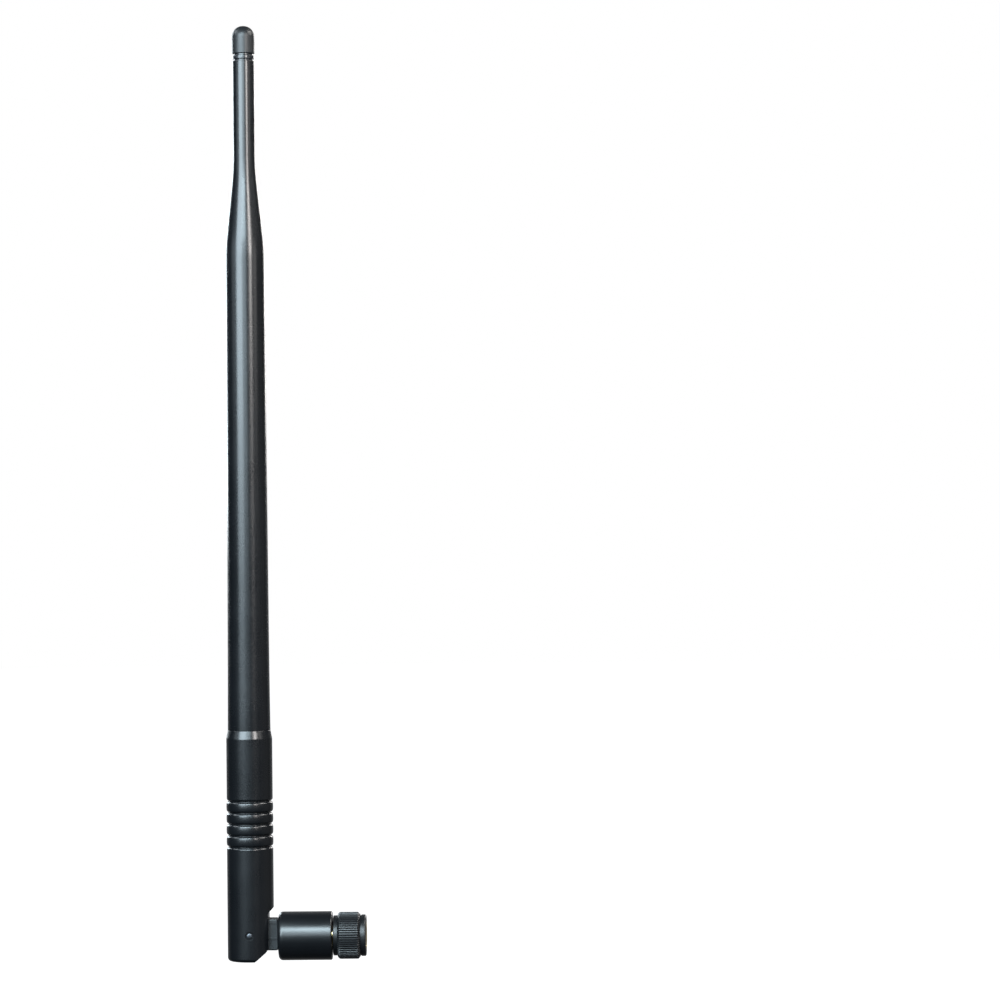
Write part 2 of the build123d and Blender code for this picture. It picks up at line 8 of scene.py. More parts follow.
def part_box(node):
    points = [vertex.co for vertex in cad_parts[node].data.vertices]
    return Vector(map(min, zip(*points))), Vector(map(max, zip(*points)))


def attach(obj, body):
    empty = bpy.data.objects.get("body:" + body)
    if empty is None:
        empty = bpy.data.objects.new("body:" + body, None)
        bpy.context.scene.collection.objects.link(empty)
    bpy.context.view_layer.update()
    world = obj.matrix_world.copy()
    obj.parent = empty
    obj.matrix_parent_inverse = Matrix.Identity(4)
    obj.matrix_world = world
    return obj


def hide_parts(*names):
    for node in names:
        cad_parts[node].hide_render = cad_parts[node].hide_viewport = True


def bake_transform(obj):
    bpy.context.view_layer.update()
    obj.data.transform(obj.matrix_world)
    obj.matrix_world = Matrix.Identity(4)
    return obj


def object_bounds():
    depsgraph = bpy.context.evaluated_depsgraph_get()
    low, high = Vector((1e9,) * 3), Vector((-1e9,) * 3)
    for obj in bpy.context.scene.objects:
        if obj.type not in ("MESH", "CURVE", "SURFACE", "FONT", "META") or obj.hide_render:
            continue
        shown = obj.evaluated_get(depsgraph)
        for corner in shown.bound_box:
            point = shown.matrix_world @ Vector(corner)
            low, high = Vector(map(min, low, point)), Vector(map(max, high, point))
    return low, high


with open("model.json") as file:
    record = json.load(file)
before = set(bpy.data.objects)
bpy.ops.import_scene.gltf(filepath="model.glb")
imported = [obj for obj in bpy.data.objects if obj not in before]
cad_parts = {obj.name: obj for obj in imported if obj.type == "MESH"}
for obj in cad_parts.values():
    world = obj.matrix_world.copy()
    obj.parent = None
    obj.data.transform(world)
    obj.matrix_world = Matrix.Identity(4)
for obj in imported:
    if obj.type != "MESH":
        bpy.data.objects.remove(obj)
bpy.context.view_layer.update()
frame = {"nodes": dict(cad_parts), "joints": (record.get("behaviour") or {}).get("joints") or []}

# Lengths below are in millimetres until a piece is finished, when MM makes them metres.
MM = 0.001
FULL_TURN = 2 * math.pi
QUARTER_TURN = math.radians(90)
ROUND_STEPS = 6
TURN_STEPS = 144
FINE_TURN_STEPS = 192
SMALL_TURN_STEPS = 96
# Points nearer than this are one point
MERGE_REACH = 0.0005
# How far a cutting tool reaches past the piece
CUT_PAST = 1
# A rounding of a whole side stops this much before its end
JUST_SHORT = 0.01
# How far a reshaped stretch of wall reaches past its points, with room and without
WIDE = 0.1
TIGHT = 0.01
# Small roundings of edges
FAINT = 0.05
FINE = 0.10
SLIGHT = 0.20

tilt = next(joint for joint in frame["joints"] if joint["name"] == "mast_tilt")
mast_x, _, pin_z = (place / MM for place in tilt["pos_m"])


def ends(node, axis):
    """The lowest and highest place of a frame node along one axis."""
    low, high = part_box(node)
    return low[axis] / MM, high[axis] / MM


def heights(node):
    """The lowest and highest height of a mast node above the hinge pin."""
    low, high = ends(node, 2)
    return low - pin_z, high - pin_z


def width_radius(node):
    """Half the width of a turned node."""
    low, high = ends(node, 1)
    return (high - low) / 2


# Where a shape turned about Z goes: upright on the mast, or lying with Z along the connector
ON_MAST = Matrix.Translation((mast_x, 0, pin_z))
ON_CONNECTOR = Matrix.Rotation(QUARTER_TURN, 4, "Y")
IN_PLACE = Matrix.Identity(4)

# --------------------------------------------------------------------------
# Shader values
# --------------------------------------------------------------------------


class Value:
    """A shader socket that Python's arithmetic works on."""

    def __init__(self, tree, socket):
        self.tree = tree
        self.socket = socket

    def node(self, kind, settings, sockets, output=0):
        """Add a node: its settings first, then the value or link of each socket."""
        made = self.tree.nodes.new(kind)
        for name, setting in settings.items():
            setattr(made, name, setting)
        for name, value in sockets.items():
            if isinstance(value, Value):
                self.tree.links.new(value.socket, made.inputs[name])
            else:
                made.inputs[name].default_value = value
        return Value(self.tree, made.outputs[output])

    def calculate(self, operation, first, second=0.0, clamp=False):
        """Add one Math node."""
        settings = {"operation": operation, "use_clamp": clamp}
        return self.node("ShaderNodeMath", settings, {0: first, 1: second})

    def __add__(self, other):
        return self.calculate("ADD", self, other)

    def __radd__(self, other):
        return self.calculate("ADD", other, self)

    def __sub__(self, other):
        return self.calculate("SUBTRACT", self, other)

    def __rsub__(self, other):
        return self.calculate("SUBTRACT", other, self)

    def __mul__(self, other):
        return self.calculate("MULTIPLY", self, other)

    def __rmul__(self, other):
        return self.calculate("MULTIPLY", other, self)

    def clamped(self):
        return self.calculate("ADD", self, 0.0, clamp=True)

    def sine(self):
        return self.calculate("SINE", self)

    def above(self, low, high):
        """0 where the value is under low, 1 where it is over high, smooth between."""
        return self.node(
            "ShaderNodeMapRange",
            {"interpolation_type": "SMOOTHSTEP"},
            {"Value": self, "From Min": low, "From Max": high},
        )

    def stretched(self, x, y, z):
        """A place with each axis multiplied."""
        return self.node(
            "ShaderNodeVectorMath",
            {"operation": "MULTIPLY"},
            {0: self, 1: (x, y, z)},
        )

    def noise(self, scale, detail=3.0, roughness=0.5):
        return self.node(
            "ShaderNodeTexNoise",
            {"noise_dimensions": "3D"},
            {"Vector": self, "Scale": scale, "Detail": detail, "Roughness": roughness},
        )

    def part(self, axis):
        """One coordinate of a place."""
        return self.node("ShaderNodeSeparateXYZ", {}, {"Vector": self}, output=axis)

    def radius_from(self, axis):
        """Distance from the line through the origin along X or Z."""
        flat = self.stretched(0, 1, 1) if axis == "X" else self.stretched(1, 1, 0)
        return self.node("ShaderNodeVectorMath", {"operation": "LENGTH"}, {0: flat}, output="Value")

    def blend(self, first, second):
        """A colour between two, by this value."""
        return self.node(
            "ShaderNodeMix",
            {"data_type": "RGBA"},
            {"Factor": self, "A": first, "B": second},
            output="Result",
        )


def colour(red, green, blue):
    """An opaque colour."""
    return (red, green, blue, 1.0)


def toned(tone, factor, lift=0.0):
    """A tone made lighter or darker."""
    return colour(*(factor * part + lift for part in tone))


class Finish:
    """A material with its shader, and the place on the piece in millimetres."""

    def __init__(self, name, **constants):
        self.material = bpy.data.materials.new(name)
        self.material.use_nodes = True
        tree = self.material.node_tree
        self.shader = tree.nodes["Principled BSDF"]
        coordinates = tree.nodes.new("ShaderNodeTexCoord")
        metres = Value(tree, coordinates.outputs["Object"])
        self.place = metres.stretched(1 / MM, 1 / MM, 1 / MM)
        for socket, value in constants.items():
            self.shader.inputs[socket.replace("_", " ")].default_value = value

    def feed(self, socket, value):
        """Let a value that varies over the piece drive one of the shader's sockets."""
        self.place.tree.links.new(value.socket, self.shader.inputs[socket])

    def bump(self, height, depth_mm):
        """Fine relief, as deep as this where the height is 1."""
        sockets = {"Height": height, "Distance": depth_mm * MM, "Strength": 1.0}
        self.feed("Normal", height.node("ShaderNodeBump", {}, sockets))


def moulded_black(name, tone, roughness, grain_mm, grain_depth, lengthwise, coat=0.0):
    """Black moulded plastic: cloudy tone, fine grain, flow streaks and hairline scuffs."""
    finish = Finish(name, IOR=1.47, Coat_Roughness=0.18)
    place = finish.place
    upright = lengthwise == "Z"
    along = (1, 1, 0.06) if upright else (0.06, 1, 1)
    across = (0.5, 0.5, 2.2) if upright else (2.2, 0.5, 0.5)
    cloud = place.noise(0.09, detail=2.0)
    streak = place.stretched(*along).noise(1.3, detail=3.0)
    scuff = place.stretched(*across).noise(1.1, detail=5.0, roughness=0.62).above(0.64, 0.74)
    grain = place.noise(1 / grain_mm, detail=2.0, roughness=0.55)
    shade = (cloud * 0.6 + streak * 0.4).blend(toned(tone, 0.72), toned(tone, 1.7))
    finish.feed("Base Color", (scuff * 0.35).blend(shade, toned(tone, 2.2, lift=0.001)))
    uneven = cloud * 0.10 + streak * 0.03 + grain * 0.05 + scuff * 0.06
    # The patterns average half their share, so this keeps the mean at the roughness asked for
    finish.feed("Roughness", (uneven + (roughness - 0.09)).clamped())
    if coat:
        finish.feed("Coat Weight", (coat - scuff * coat * 0.6).clamped())
    finish.bump(grain + streak * 0.3, grain_depth)
    return finish.material


def turned_metal(name, bright, deep, roughness, ring_mm, ring_depth):
    """Turned and plated metal: fine tool rings, a warmer tone where it is worn or shaded."""
    finish = Finish(name, Metallic=1.0)
    place = finish.place
    reach = place.radius_from("X") + place.part(0) * 0.73
    rings = (reach * (FULL_TURN / ring_mm) + place.noise(0.8) * 3.0).sine() * 0.5 + 0.5
    cloud = place.noise(0.7, detail=4.0)
    speck = place.noise(9.0, detail=2.0).above(0.60, 0.72)
    tone = (cloud * 0.8 + rings * 0.2).clamped().blend(colour(*deep), colour(*bright))
    finish.feed("Base Color", (speck * 0.15).blend(tone, colour(*deep)))
    finish.feed("Roughness", (cloud * 0.10 + rings * 0.04 + speck * 0.03 + roughness).clamped())
    finish.bump(rings * 0.6 + cloud * 0.4, ring_depth)
    return finish.material


def soft_surface(name, light, dark, roughness, patch_mm, grain_mm, grain_depth, **constants):
    """Rubber, insulator, cable jacket or foam: mottled tone and an uneven matt surface."""
    finish = Finish(name, **constants)
    place = finish.place
    patch = place.noise(1 / patch_mm, detail=4.0)
    grain = place.noise(1 / grain_mm, detail=3.0, roughness=0.6)
    tone = (patch * 0.7 + grain * 0.3).clamped().blend(colour(*dark), colour(*light))
    finish.feed("Base Color", tone)
    uneven = patch * 0.12 + grain * 0.10
    # Half of the patterns' share is taken off again, as above
    finish.feed("Roughness", (uneven + (roughness - 0.11)).clamped())
    finish.bump(grain, grain_depth)
    return finish.material


BLACK_TONE = (0.0023, 0.0028, 0.0035)
CAP_TONE = (0.004, 0.0047, 0.0055)
KNUCKLE_TONE = (0.010, 0.011, 0.012)
# Name, tone, roughness, grain size and depth in millimetres, the way the plastic flowed
radome_black = moulded_black("black_radome_plastic", BLACK_TONE, 0.27, 0.22, 0.0035, "Z", coat=0.10)
base_black = moulded_black("black_base_plastic", BLACK_TONE, 0.285, 0.20, 0.003, "Z", coat=0.06)
housing_black = moulded_black("black_housing_plastic", BLACK_TONE, 0.33, 0.20, 0.005, "X", coat=0.10)
cap_black = moulded_black("black_cap_plastic", CAP_TONE, 0.46, 0.22, 0.006, "Z")
grip_black = moulded_black("black_grip_plastic", BLACK_TONE, 0.42, 0.16, 0.005, "X")
knuckle_black = moulded_black("black_knuckle_plastic", KNUCKLE_TONE, 0.44, 0.26, 0.012, "X")

# Name, bright tone, deep tone, roughness, width and depth of the tool rings in millimetres
gold_plate = turned_metal(
    "gold_plate", (1.0, 0.84, 0.46), (0.93, 0.71, 0.33), 0.19, 0.09, 0.0007
)
bright_gold = turned_metal(
    "gold_contact", (1.0, 0.82, 0.45), (0.90, 0.66, 0.30), 0.16, 0.07, 0.0005
)
spring_steel = turned_metal(
    "spring_steel", (0.62, 0.63, 0.65), (0.40, 0.41, 0.43), 0.24, 0.09, 0.001
)
pin_steel = turned_metal(
    "steel_pin", (0.085, 0.09, 0.10), (0.045, 0.05, 0.056), 0.34, 0.12, 0.0015
)
nickel = turned_metal(
    "nickel_brass", (0.80, 0.76, 0.66), (0.58, 0.52, 0.40), 0.22, 0.15, 0.001
)
copper = turned_metal(
    "copper_wire", (0.92, 0.52, 0.34), (0.62, 0.26, 0.13), 0.24, 0.20, 0.001
)

# Name, light tone, dark tone, roughness, size of the patches, size and depth of the grain
white_ptfe = soft_surface(
    "white_ptfe", (0.90, 0.88, 0.82), (0.74, 0.71, 0.62), 0.38, 1.6, 0.12, 0.002,
    Subsurface_Weight=0.15, Subsurface_Scale=0.0006,
)
red_silicone = soft_surface(
    "red_silicone", (0.42, 0.11, 0.05), (0.22, 0.05, 0.025), 0.48, 0.9, 0.10, 0.003
)
black_rubber = soft_surface(
    "black_rubber", (0.030, 0.030, 0.031), (0.014, 0.014, 0.015), 0.62, 1.2, 0.10, 0.004
)
seal_grey = soft_surface(
    "grey_seal", (0.012, 0.013, 0.015), (0.006, 0.0065, 0.0075), 0.26, 0.8, 0.10, 0.001
)
cable_black = soft_surface(
    "black_cable", (0.034, 0.034, 0.036), (0.018, 0.018, 0.019), 0.42, 2.0, 0.14, 0.003
)
shrink_black = soft_surface(
    "black_shrink", (0.026, 0.026, 0.027), (0.012, 0.012, 0.013), 0.52, 0.7, 0.25, 0.010
)
nylon_dark = soft_surface(
    "nylon_washer", (0.13, 0.13, 0.125), (0.075, 0.075, 0.072), 0.40, 0.9, 0.12, 0.002
)
white_foam = soft_surface(
    "white_foam", (0.88, 0.88, 0.85), (0.62, 0.62, 0.58), 0.85, 0.5, 0.35, 0.120
)

# --------------------------------------------------------------------------
# Modelling
# --------------------------------------------------------------------------


def round_corner(shape, corner, reach, segments):
    """Round one corner of a flat outline. The reach is taken along each of its sides."""
    bmesh.ops.bevel(
        shape,
        geom=[corner],
        offset=reach,
        segments=segments,
        profile=0.5,
        affect="VERTICES",
        material=-1,
    )


def outline(corners, closed):
    """A wire of (radius, height) or (radius, height, rounding) corners."""
    shape = bmesh.new()
    points = [shape.verts.new((corner[0], 0, corner[1])) for corner in corners]
    for start, end in zip(points, points[1:]):
        shape.edges.new((start, end))
    if closed:
        shape.edges.new((points[-1], points[0]))
    for point, corner in zip(points, corners):
        if len(corner) > 2:
            round_corner(shape, point, corner[2], ROUND_STEPS)
    return shape


def turned(corners, closed=True, steps=TURN_STEPS):
    """An outline turned about Z. It is closed, or it starts and ends on the axis."""
    shape = outline(corners, closed)
    bmesh.ops.spin(
        shape,
        geom=shape.verts[:] + shape.edges[:],
        cent=(0, 0, 0),
        axis=(0, 0, 1),
        angle=FULL_TURN,
        steps=steps,
        use_merge=True,
    )
    bmesh.ops.remove_doubles(shape, verts=shape.verts, dist=MERGE_REACH)
    bmesh.ops.recalc_face_normals(shape, faces=shape.faces)
    return shape


def reshape(shape, low, high, inner, outer, radius_at):
    """Move the points of one stretch of wall to a radius given by angle and height."""
    for point in shape.verts:
        radius = math.hypot(point.co.x, point.co.y)
        if low < point.co.z < high and inner < radius < outer:
            angle = math.atan2(point.co.y, point.co.x)
            factor = radius_at(angle, point.co.z, radius) / radius
            point.co.x *= factor
            point.co.y *= factor


def hexagon_radius(across_flats, angle):
    """Radius of a hexagon with a corner towards +X."""
    side = FULL_TURN / 6
    return across_flats / 2 / math.cos(angle % side - side / 2)


def prism(points, half_width, round_corners=()):
    """A block whose outline lies in XZ, with its thickness along Y."""
    shape = bmesh.new()
    corners = [shape.verts.new((x, -half_width, z)) for x, z in points]
    shape.faces.new(corners)
    for index, reach in round_corners:
        round_corner(shape, corners[index], reach, 4 * ROUND_STEPS)
    raised = bmesh.ops.extrude_face_region(shape, geom=shape.faces[:])
    moved = [part for part in raised["geom"] if isinstance(part, bmesh.types.BMVert)]
    bmesh.ops.translate(shape, verts=moved, vec=(0, 2 * half_width, 0))
    bmesh.ops.recalc_face_normals(shape, faces=shape.faces)
    return shape


def block(start, end, bottom, top, half_width):
    """A plain block between two places along X and two heights."""
    return prism([(start, bottom), (start, top), (end, top), (end, bottom)], half_width)


def cross_rod(radius, start, end):
    """A round bar along Y between two places."""
    shape = bmesh.new()
    bmesh.ops.create_cone(
        shape,
        cap_ends=True,
        segments=48,
        radius1=radius,
        radius2=radius,
        depth=abs(end - start),
    )
    turn = Matrix.Rotation(QUARTER_TURN, 4, "X")
    shape.transform(Matrix.Translation((0, (start + end) / 2, 0)) @ turn)
    return shape


def as_object(shape, name):
    """A shape as an object of the scene."""
    mesh = bpy.data.meshes.new(name)
    shape.to_mesh(mesh)
    shape.free()
    made = bpy.data.objects.new(name, mesh)
    bpy.context.scene.collection.objects.link(made)
    return made


def carved(shape, tools, operation="DIFFERENCE"):
    """Cut tools from a shape, or join them to it, and return the result."""
    blank = as_object(shape, "blank")
    for tool in tools:
        knife = as_object(tool, "knife")
        change = blank.modifiers.new("change", "BOOLEAN")
        change.operation = operation
        change.solver = "EXACT"
        change.object = knife
        graph = bpy.context.evaluated_depsgraph_get()
        result = bpy.data.meshes.new_from_object(blank.evaluated_get(graph))
        blank.modifiers.clear()
        blank.data = result
        bpy.data.objects.remove(knife)
    made = bmesh.new()
    made.from_mesh(blank.data)
    bpy.data.objects.remove(blank)
    bmesh.ops.remove_doubles(made, verts=made.verts, dist=MERGE_REACH)
    return made


def joined(shapes):
    """Several separate shapes in one mesh."""
    whole = bmesh.new()
    for shape in shapes:
        mesh = bpy.data.meshes.new("part")
        shape.to_mesh(mesh)
        shape.free()
        whole.from_mesh(mesh)
        bpy.data.meshes.remove(mesh)
    return whole


def both_sides(corners, closed, steps):
    """The same turned shape on both sides of the hinge, with its axis along Y."""
    shapes = []
    for side in (-1, 1):
        shape = turned(corners, closed, steps)
        shape.transform(Matrix.Rotation(side * QUARTER_TURN, 4, "X"))
        shapes.append(shape)
    return joined(shapes)


def piece(name, shape, body, material, node, place, sharp=32):
    """Finish a shape as a piece that rides on a body, if one is given, and stands for a node."""
    shape.transform(Matrix.Scale(MM, 4) @ place)
    for face in shape.faces:
        face.smooth = True
    made = as_object(shape, name)
    made.data.set_sharp_from_angle(angle=math.radians(sharp))
    made.data.materials.append(material)
    even = made.modifiers.new("even_shading", "WEIGHTED_NORMAL")
    even.keep_sharp = True
    if body:
        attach(made, body)
    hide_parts(node)
    return made


# --------------------------------------------------------------------------
# Mast
# --------------------------------------------------------------------------

foot, shoulder_top = heights("base_barrel")
spigot_bottom, radome_top = heights("radome")
seal_bottom, seal_top = heights("tip_seal")
plug_bottom, cap_top = heights("tip_cap")
seat_gap = 0.02
spigot_radius = 5.10
spigot_bore = 4.50
tube_radius = 5.98
taper_bottom = shoulder_top + 135.2
taper_top = taper_bottom + 21.8
taper_radius = 5.50
taper_bore = 4.30
upper_radius = 3.10
upper_bore = 1.9
tip_radius = 3.08
# The long tube narrows a little as it rises: radius, height above the shoulder, rounding
tube_bends = ((5.84, 14.0, 6.0), (5.67, 47.0, 16.0))

radome = turned(
    [
        (spigot_radius, spigot_bottom, 0.4),
        (spigot_radius, shoulder_top + seat_gap),
        (tube_radius, shoulder_top + seat_gap, FINE),
        *((radius, shoulder_top + rise, rounding) for radius, rise, rounding in tube_bends),
        (taper_radius, taper_bottom, 3.0),
        (upper_radius, taper_top, 3.4),
        (tip_radius, radome_top, 0.12),
        (upper_bore, radome_top),
        (upper_bore, taper_top),
        (taper_bore, taper_bottom),
        (spigot_bore, shoulder_top),
        (spigot_bore, spigot_bottom, SLIGHT),
    ]
)
piece("radome_shell", radome, "mast", radome_black, "radome", ON_MAST)

seal_middle = (seal_bottom + seal_top) / 2
seal_bore = upper_bore + 0.01
seal_neck = 2.62
seal_rim = 3.00
half_rim = 0.50
seal = turned(
    [
        (seal_bore, seal_bottom + seat_gap),
        (seal_neck, seal_bottom + seat_gap),
        (seal_neck, seal_middle - half_rim, FINE),
        (seal_rim, seal_middle - half_rim, 0.12),
        (seal_rim, seal_middle + half_rim, 0.12),
        (seal_neck, seal_middle + half_rim, FINE),
        (seal_neck, seal_top - seat_gap),
        (seal_bore, seal_top - seat_gap),
    ]
)
piece("tip_seal_ring", seal, "mast", seal_grey, "tip_seal", ON_MAST)

cap_radius = width_radius("tip_cap")
plug_radius = upper_bore - seat_gap
dome = 3.0
dome_lifts = [math.radians(degrees) for degrees in range(0, 91, 6)]
cap = turned(
    [
        (0, plug_bottom),
        (plug_radius, plug_bottom, 0.3),
        (plug_radius, seal_top),
        (cap_radius, seal_top, 0.22),
        *(
            (cap_radius - dome + dome * math.cos(lift), cap_top - dome + dome * math.sin(lift))
            for lift in dome_lifts
        ),
        (0, cap_top),
    ],
    closed=False,
)
piece("tip_cap_shell", cap, "mast", cap_black, "tip_cap", ON_MAST)

# The barrel: five ring grooves, a smooth sleeve, a sloped shoulder and a forked foot
barrel_radius = 6.48
sleeve_radius = 6.43
groove_floor = 5.98
first_groove = 24.60
groove_pitch = 3.19
ribs_between = 4
half_floor = 0.15
groove_flare = 0.12
rib_edge = 6.46
rib_crest = 6.56
rounding = 0.42
crest_rounding = 0.5
barrel_corners = [
    (0, foot),
    (barrel_radius, foot, 1.0),
    (barrel_radius, first_groove - half_floor - groove_flare, rounding),
    (groove_floor, first_groove - half_floor, FAINT),
]
for rib in range(ribs_between):
    below = first_groove + rib * groove_pitch + half_floor
    above = below + groove_pitch - 2 * half_floor
    barrel_corners += [
        (groove_floor, below, FAINT),
        (rib_edge, below + groove_flare, rounding),
        (rib_crest, (below + above) / 2, crest_rounding),
        (rib_edge, above - groove_flare, rounding),
        (groove_floor, above, FAINT),
    ]
last_groove = first_groove + ribs_between * groove_pitch
spigot_pocket = 5.12
lead_room = 4.40
lead_room_floor = 10.0
foot_bore = 1.10
foot_floor = foot + 2.0
barrel_corners += [
    (groove_floor, last_groove + half_floor, FAINT),
    (sleeve_radius, last_groove + half_floor + groove_flare, rounding),
    (sleeve_radius, shoulder_top - 2.30, 0.12),
    (tube_radius, shoulder_top, 0.08),
    (spigot_pocket, shoulder_top),
    (spigot_pocket, spigot_bottom - seat_gap),
    (lead_room, spigot_bottom - seat_gap),
    (lead_room, lead_room_floor),
    (foot_bore, lead_room_floor),
    (foot_bore, foot_floor),
    (0, foot_floor),
]
slot_half_width = ends("hinge_washers", 1)[1]
slot_reach = 4.725
past = 2 * barrel_radius
slot = prism(
    [
        (past, slot_reach),
        (-slot_reach, slot_reach),
        (-slot_reach, foot - CUT_PAST),
        (past, foot - CUT_PAST),
    ],
    slot_half_width,
    round_corners=[(1, slot_reach - JUST_SHORT)],
)
# The relief: a flat beside the housing with a sloped top and a cut lower corner
relief_flat = 5.05
relief_top = 6.10
chamfer_slope = 1.45 / (barrel_radius - relief_flat)
corner_width = 3.70
corner_height = 3.10
corner_slope = corner_width / corner_height
relief = prism(
    [
        (relief_flat, relief_top),
        (past, relief_top + chamfer_slope * (past - relief_flat)),
        (past, foot - CUT_PAST),
        (relief_flat - corner_slope * (corner_height + CUT_PAST), foot - CUT_PAST),
        (relief_flat, foot + corner_height),
    ],
    past,
    round_corners=[(0, 0.35), (4, 0.9)],
)
pin_hole = 0.82
counterbore = 1.25
counterbore_depth = 0.45
cuts = [slot, relief, cross_rod(pin_hole, -past, past)]
for side in (-1, 1):
    cuts.append(cross_rod(counterbore, side * (barrel_radius - counterbore_depth), side * past))
barrel = carved(turned(barrel_corners, closed=False), cuts)
piece("barrel_shell", barrel, "mast", base_black, "base_barrel", ON_MAST)

# Two stub pins with lightly domed ends
pin_radius = 0.80
pin_start = 1.20
pin_end = ends("hinge_pins", 1)[1]
pins = both_sides(
    [
        (0, pin_start),
        (pin_radius, pin_start, FINE),
        (pin_radius, pin_end - 0.12, FINE),
        (0.45, pin_end - 0.02),
        (0, pin_end),
    ],
    closed=False,
    steps=64,
)
piece("hinge_pin_stubs", pins, "mast", pin_steel, "hinge_pins", ON_MAST)

pin_clearance = 0.85
washer_radius = 2.40
washer_thickness = 0.30
washers = both_sides(
    [
        (pin_clearance, slot_half_width - washer_thickness, FAINT),
        (washer_radius, slot_half_width - washer_thickness, 0.08),
        (washer_radius, slot_half_width, FAINT),
        (pin_clearance, slot_half_width, FAINT),
    ],
    closed=True,
    steps=72,
)
piece("hinge_washer_pair", washers, "mast", nylon_dark, "hinge_washers", ON_MAST)


def winding(node):
    """A phasing coil: close-wound wire between two small end ferrules."""
    low, high = heights(node)
    wire = 0.40
    mean = width_radius(node) - wire
    ferrule = 2 * wire
    turns = 8
    steps = 28
    rise = (high - low - 2 * ferrule - 2 * wire) / (turns * steps)
    coil = bmesh.new()
    bmesh.ops.create_circle(coil, cap_ends=True, segments=12, radius=wire)
    start = Matrix.Translation((mean, 0, low + ferrule + wire))
    coil.transform(start @ Matrix.Rotation(QUARTER_TURN, 4, "X"))
    bmesh.ops.spin(
        coil,
        geom=coil.faces[:],
        cent=(0, 0, 0),
        axis=(0, 0, 1),
        dvec=(0, 0, rise),
        angle=FULL_TURN * turns,
        steps=turns * steps,
        use_merge=False,
    )
    bmesh.ops.recalc_face_normals(coil, faces=coil.faces)
    parts = [coil]
    for bottom in (low, high - ferrule):
        corners = [
            (0, bottom),
            (mean + wire, bottom, 0.15),
            (mean + wire, bottom + ferrule, 0.15),
            (0, bottom + ferrule),
        ]
        parts.append(turned(corners, closed=False, steps=48))
    return joined(parts)


for coil_node in ("lower_phasing_coil", "upper_phasing_coil"):
    coil = winding(coil_node)
    piece(coil_node + "_winding", coil, "mast", copper, coil_node, ON_MAST)

# --------------------------------------------------------------------------
# Coupling nut and grip, turned about Z and then laid along X
# --------------------------------------------------------------------------

nut_back, nut_front = ends("coupling_nut", 0)
grip_back, grip_front = ends("nut_collar", 0)
thread_pitch = 25.4 / 36
thread_minor = 2.80
thread_depth = 0.375
thread_start = nut_front - 0.50
thread_end = nut_front - 3.395
thread_rings = 16
nut_flats = 8.00
nut_face = 4.10
face_depth = 1.50
# The hexagon is shaped from a round blank that is a little wider than its flats
blank_margin = 0.05
blank_radius = nut_flats / 2 + blank_margin
back_chamfer = 0.30
back_bore = 2.50
back_wall = 0.70
recess_radius = 3.25

rings = round((thread_start - thread_end) / thread_pitch * thread_rings)
thread_corners = [
    (thread_minor, thread_start - (thread_start - thread_end) * ring / rings)
    for ring in range(rings + 1)
]
nut = turned(
    [
        (nut_face, nut_front, SLIGHT),
        (nut_face, nut_front - face_depth),
        (blank_radius, nut_front - face_depth),
        (blank_radius, nut_back + 0.4),
        (nut_flats / 2 - back_chamfer, nut_back),
        (back_bore, nut_back),
        (back_bore, nut_back + back_wall),
        (recess_radius, nut_back + back_wall),
        (recess_radius, thread_end),
        *reversed(thread_corners),
        (thread_minor + 0.04, nut_front - 0.36, FINE),
        (thread_minor + 0.52, nut_front, 0.22),
    ],
    steps=FINE_TURN_STEPS,
)
groove_start = thread_start - 0.10
groove_end = thread_end + 0.10
half_groove = 0.31
fade_in = 0.25
fade_out = 0.15


def thread_radius(angle, height, radius):
    """A 60 degree thread with flat crests, faded in and out at its two ends."""
    phase = (height / thread_pitch + angle / FULL_TURN) % 1.0
    valley = max(0.0, 1 - abs(phase - 0.5) / half_groove)
    fade = min(1.0, (groove_start - height) / fade_in, (height - groove_end) / fade_out)
    return thread_minor + thread_depth * valley * max(0.0, fade)


def nut_radius(angle, height, radius):
    """The round blank brought to the nut's hexagon, its back chamfer with it."""
    return radius - nut_flats / 2 - blank_margin + hexagon_radius(nut_flats, angle)


reshape(nut, groove_end, groove_start, thread_minor - WIDE, thread_minor + WIDE, thread_radius)
reshape(
    nut,
    nut_back - WIDE,
    nut_front - face_depth + TIGHT,
    nut_flats / 2 - back_chamfer - WIDE,
    blank_radius + TIGHT,
    nut_radius,
)
piece("thread_nut", nut, "nut", gold_plate, "coupling_nut", ON_CONNECTOR, sharp=28)

grip_ribs = 60
rib_steps = 12
rib_depth = 0.28
crown_height = 0.05
crown_share = 0.45
grip_radius = 6.55
land_radius = 5.80
neck_radius = 5.60
mouth_radius = 4.12
pocket_depth = 1.48
land_depth = 1.35
knurl_front = grip_front - 1.65
knurl_back = knurl_front - 6.35
pocket_flats = nut_flats + 0.04
grip = turned(
    [
        (mouth_radius, grip_front, FAINT),
        (land_radius, grip_front, 0.45),
        (land_radius, grip_front - land_depth, FINE),
        (neck_radius, grip_front - land_depth),
        (neck_radius, knurl_front),
        (5.86, knurl_front, 0.06),
        (grip_radius - 0.16, knurl_front - 0.42, FINE),
        (grip_radius, knurl_front - 0.62, FINE),
        (grip_radius, (knurl_front + knurl_back) / 2),
        (grip_radius, knurl_back + 0.55, 0.30),
        (grip_radius - 0.55, knurl_back, 0.12),
        (neck_radius, knurl_back),
        (neck_radius, grip_back, SLIGHT),
        (pocket_flats / 2, grip_back),
        (pocket_flats / 2, grip_front - pocket_depth),
        (mouth_radius, grip_front - pocket_depth),
    ],
    steps=grip_ribs * rib_steps,
)


